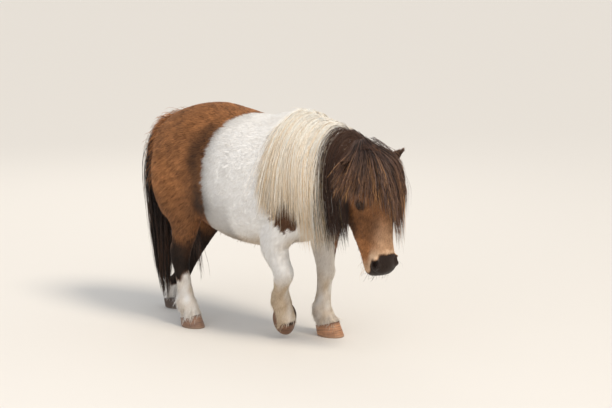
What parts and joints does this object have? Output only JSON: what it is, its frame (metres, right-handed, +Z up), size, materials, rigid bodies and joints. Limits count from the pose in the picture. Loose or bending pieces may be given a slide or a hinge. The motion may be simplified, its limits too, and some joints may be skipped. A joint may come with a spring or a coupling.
{
  "type": "shetland pony",
  "caption": "Life-size skewbald pony in winter coat, walking with one forefoot lifted, head low, with full mane, forelock and tail; a still museum model.",
  "frame": {"origin": "on the floor below the middle of the pony's bounding box", "axes": "+X the way the body faces, +Y to the pony's left, +Z up"},
  "size_m": [1.3895, 0.4778, 0.968],
  "materials": {
    "coat_body": "long winter coat of hair, creamy white with a bay brown rear half",
    "coat_neck_mane": "long straight mane hair, creamy white with a dark brown front part",
    "coat_head_forelock": "short bay coat, black muzzle, dark brown forelock",
    "hair_tail": "long coarse black brown tail hair",
    "coat_forelegs": "short white coat with tan stains and long fetlock hair",
    "coat_hindlegs": "short dark brown coat above white socks",
    "coat_ears": "short dark coat, hairy inside",
    "horn": "dull weathered hoof horn",
    "eye": "wet dark eye"
  },
  "bodies": {
    "root": {"torso": "coat_body", "neck": "coat_neck_mane", "head": "coat_head_forelock", "tail": "hair_tail", "foreleg_left": "coat_forelegs", "foreleg_right": "coat_forelegs", "hindleg_left": "coat_hindlegs", "hindleg_right": "coat_hindlegs", "hoof_foreleg_left": "horn", "hoof_foreleg_right": "horn", "hoof_hindleg_left": "horn", "hoof_hindleg_right": "horn", "eye_left": "eye", "eye_right": "eye", "ear_left": "coat_ears", "ear_right": "coat_ears"}
  },
  "joints": []
}
